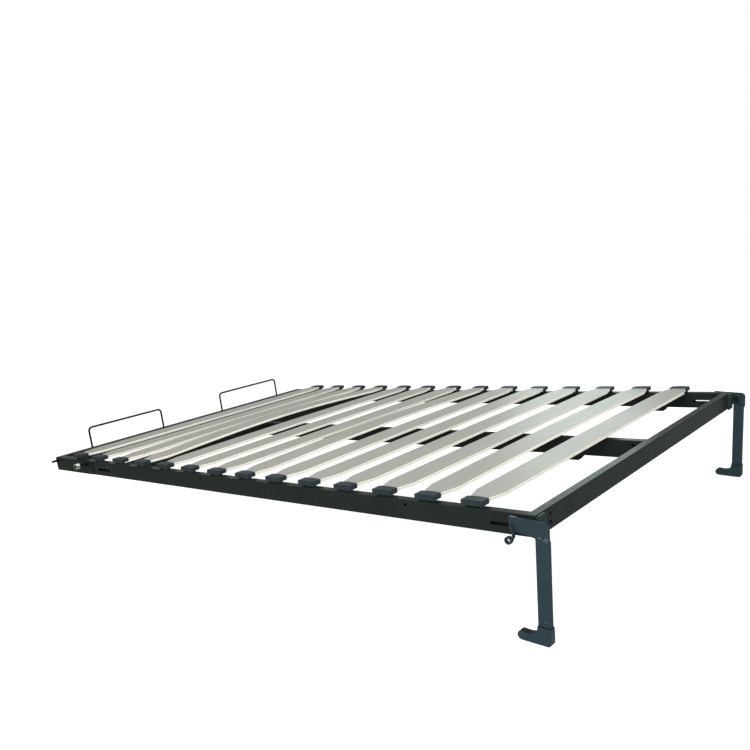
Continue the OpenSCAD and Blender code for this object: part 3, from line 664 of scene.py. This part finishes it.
class WALLBED_OT_stage(bpy.types.Operator):
    """Set out the floor, the light and the camera"""

    bl_idname = "wallbed.stage"
    bl_label = "Stage"

    def execute(self, context):
        look = settings().stage
        scene = context.scene
        scene.view_settings.view_transform = "Standard"

        mesh = bpy.data.meshes.new("floor")
        signs = ((-1, -1), (1, -1), (1, 1), (-1, 1))
        mesh.from_pydata([(x * FLOOR_REACH, y * FLOOR_REACH, 0) for x, y in signs], [], [(0, 1, 2, 3)])
        floor = bpy.data.objects.new("floor", mesh)
        scene.collection.objects.link(floor)
        mesh.materials.append(self.floor_material(look.floor))

        self.world(scene, look.sky)
        for name, power, place, aim, width, height in LAMPS:
            data = bpy.data.lights.new(name, "AREA")
            data.shape = "RECTANGLE"
            data.size = width
            data.size_y = height
            data.energy = getattr(look, power)
            lamp = bpy.data.objects.new(name, data)
            scene.collection.objects.link(lamp)
            lamp.location = place
            lamp.rotation_euler = (Vector(aim) - Vector(place)).to_track_quat("-Z", "Y").to_euler()
        bpy.data.lights["panel_light"].color = look.panel_tint[:3]

        camera = bpy.data.objects.new("camera", bpy.data.cameras.new("camera"))
        scene.collection.objects.link(camera)
        turn = Matrix((CAMERA_RIGHT, -CAMERA_DOWN, -CAMERA_AHEAD)).transposed().to_4x4()
        camera.matrix_world = Matrix.Translation(CAMERA_PLACE) @ turn
        camera.data.lens = look.lens
        camera.data.sensor_width = CAMERA_SENSOR
        camera.data.shift_y = CAMERA_SHIFT
        camera.data.clip_end = CAMERA_REACH
        scene.camera = camera
        return {"FINISHED"}

    def floor_material(self, colour):
        """Pale floor that reads as white to the camera and still takes the object's shadow."""
        material = bpy.data.materials.new("floor")
        material.use_nodes = True
        nodes, links = material.node_tree.nodes, material.node_tree.links
        nodes.clear()
        out = nodes.new("ShaderNodeOutputMaterial")
        matt = nodes.new("ShaderNodeBsdfDiffuse")
        matt.inputs["Color"].default_value = colour
        glow = nodes.new("ShaderNodeEmission")
        seen = nodes.new("ShaderNodeLightPath")
        scaled = nodes.new("ShaderNodeMath")
        scaled.operation = "MULTIPLY"
        scaled.inputs[1].default_value = FLOOR_GLOW
        links.new(seen.outputs["Is Camera Ray"], scaled.inputs[0])
        links.new(scaled.outputs[0], glow.inputs["Strength"])
        both = nodes.new("ShaderNodeAddShader")
        links.new(matt.outputs[0], both.inputs[0])
        links.new(glow.outputs[0], both.inputs[1])
        links.new(both.outputs[0], out.inputs["Surface"])
        return material

    def world(self, scene, strength):
        """White to the camera, softer as a light."""
        world = bpy.data.worlds.new("studio")
        scene.world = world
        world.use_nodes = True
        nodes, links = world.node_tree.nodes, world.node_tree.links
        back = nodes["Background"]
        back.inputs["Color"].default_value = (1, 1, 1, 1)
        path = nodes.new("ShaderNodeLightPath")
        level = nodes.new("ShaderNodeMapRange")
        level.inputs["To Min"].default_value = strength
        level.inputs["To Max"].default_value = 1.0
        links.new(path.outputs["Is Camera Ray"], level.inputs["Value"])
        links.new(level.outputs["Result"], back.inputs["Strength"])


class WALLBED_PT_panel(bpy.types.Panel):
    """Lists the steps and their settings in the sidebar"""

    bl_idname = "WALLBED_PT_panel"
    bl_label = "Wall bed frame"
    bl_space_type = "VIEW_3D"
    bl_region_type = "UI"
    bl_category = "Wall bed"

    def draw(self, context):
        for group, steps in PANEL_ROWS:
            box = self.layout.box()
            for step in steps:
                box.operator(step.bl_idname)
            look = getattr(context.scene.wall_bed, group)
            for name in look.__annotations__:
                box.prop(look, name)


PANEL_ROWS = (
    ("rails", (WALLBED_OT_rails,)),
    ("slats", (WALLBED_OT_slats,)),
    ("holders", (WALLBED_OT_slat_holders,)),
    ("pivots", (WALLBED_OT_head_pivots, WALLBED_OT_mattress_loops)),
    ("legs", (WALLBED_OT_legs,)),
    ("stage", (WALLBED_OT_stage,)),
)
GROUPS = (RailFinish, SlatFinish, HolderFinish, LegFinish, PivotFinish, StageSetup, WallBedSettings)
STEPS = tuple(step for _, steps in PANEL_ROWS for step in steps)
CLASSES = GROUPS + STEPS + (WALLBED_PT_panel,)


def register():
    for cls in CLASSES:
        bpy.utils.register_class(cls)
    bpy.types.Scene.wall_bed = PointerProperty(type=WallBedSettings)


def unregister():
    del bpy.types.Scene.wall_bed
    for cls in reversed(CLASSES):
        bpy.utils.unregister_class(cls)


def main():
    register()
    bpy.ops.wallbed.rails()
    bpy.ops.wallbed.slats()
    bpy.ops.wallbed.slat_holders()
    bpy.ops.wallbed.head_pivots()
    bpy.ops.wallbed.mattress_loops()
    bpy.ops.wallbed.legs()
    bpy.ops.wallbed.stage()


if __name__ == "__main__":
    main()
